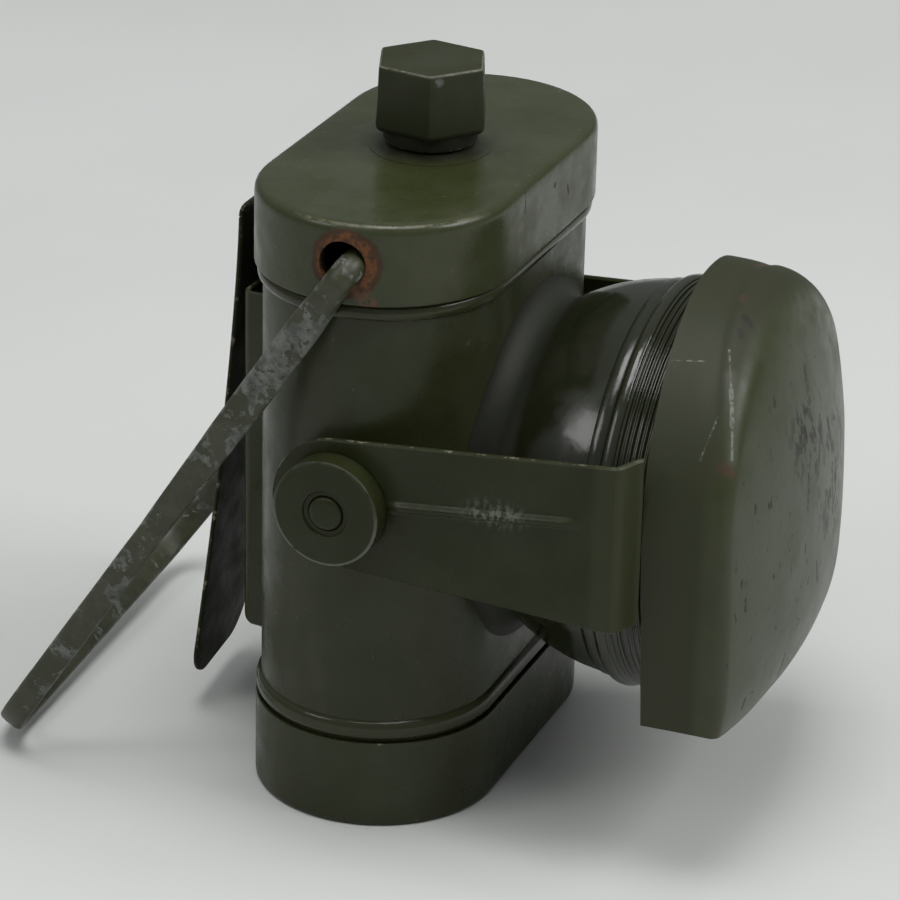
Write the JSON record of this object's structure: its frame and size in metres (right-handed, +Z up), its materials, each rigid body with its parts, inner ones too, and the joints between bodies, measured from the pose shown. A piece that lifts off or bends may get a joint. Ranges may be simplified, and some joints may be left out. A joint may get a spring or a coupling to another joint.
{
  "type": "bicycle lamp",
  "caption": "Upright sheet-metal battery lamp with a round head under a tilting blackout hood, a wire carrying handle, a screw-down switch and a sprung belt clip.",
  "frame": {"origin": "middle of the bottom cap's lower face, on the surface that the lamp stands on", "axes": "+Z up, beam towards -Y, X along the case's two flats; metres"},
  "size_m": [0.0888, 0.1326, 0.1163],
  "materials": {
    "enamel": "dark olive-green semi-gloss enamel, chipped and worn at the edges",
    "worn_steel": "grey zinc plating under worn olive enamel",
    "brass": "dull plain brass",
    "mirror": "polished plated reflector",
    "glass": "clear glass",
    "rubber": "black rubber",
    "fibre": "red-brown vulcanised fibre",
    "zinc": "dull zinc can",
    "card": "plain card"
  },
  "bodies": {
    "case": {"case_body": "enamel", "top_lid": "enamel", "battery_cell_left": "zinc", "battery_cell_right": "zinc", "battery_wrap": "card", "contact_board": "fibre", "positive_strip": "brass", "switch_contact": "brass", "lamp_lead": "brass", "lead_insulator": "fibre", "switch_bush": "enamel", "bush_nut": "brass", "head_shell": "enamel", "lens_glass": "glass", "lens_gasket": "rubber", "reflector": "mirror", "bulb_holder": "brass", "bulb_base": "brass", "bulb_glass": "glass", "pivot_pin_left": "enamel", "pivot_pin_right": "enamel", "pivot_washer_left": "worn_steel", "pivot_washer_right": "worn_steel", "pivot_boss_left": "enamel", "pivot_boss_right": "enamel", "back_sleeve": "enamel", "clip_anchor": "enamel", "clip_rivet_upper": "brass", "clip_rivet_lower": "brass"},
    "cap": {"bottom_cap": "enamel", "cap_pad": "fibre", "bridge_contact": "brass"},
    "switch": {"switch_knob": "enamel", "switch_spindle": "brass"},
    "handle": {"carry_handle": "worn_steel"},
    "hood": {"hood_shell": "enamel", "hood_arm_left": "enamel", "hood_arm_right": "enamel"},
    "clip": {"clip_leaf": "enamel"},
    "ring": {"lens_ring": "enamel"}
  },
  "joints": [
    {"name": "cap_slide", "type": "slide", "parent": "case", "child": "cap", "axis": [0, 0, -1], "range_m": [0, 0.018]},
    {"name": "switch_turn", "type": "hinge", "parent": "case", "child": "switch", "pos_m": [0, 0, 0.1], "axis": [0, 0, 1], "range_deg": [0, 270]},
    {"name": "handle_swing", "type": "hinge", "parent": "case", "child": "handle", "pos_m": [0, -0.0017, 0.0957], "axis": [1, 0, 0], "range_deg": [0, 215]},
    {"name": "hood_tilt", "type": "hinge", "parent": "case", "child": "hood", "pos_m": [0, -0.0017, 0.057], "axis": [-1, 0, 0], "range_deg": [0, 40]},
    {"name": "clip_flex", "type": "hinge", "parent": "case", "child": "clip", "pos_m": [0, 0.0271, 0.08945], "axis": [1, 0, 0], "range_deg": [0, 6], "stiffness_Nm_per_rad": 2},
    {"name": "lens_ring_turn", "type": "hinge", "parent": "case", "child": "ring", "pos_m": [0, -0.045, 0.0524], "axis": [0, -1, 0], "range_deg": [0, 360]}
  ]
}
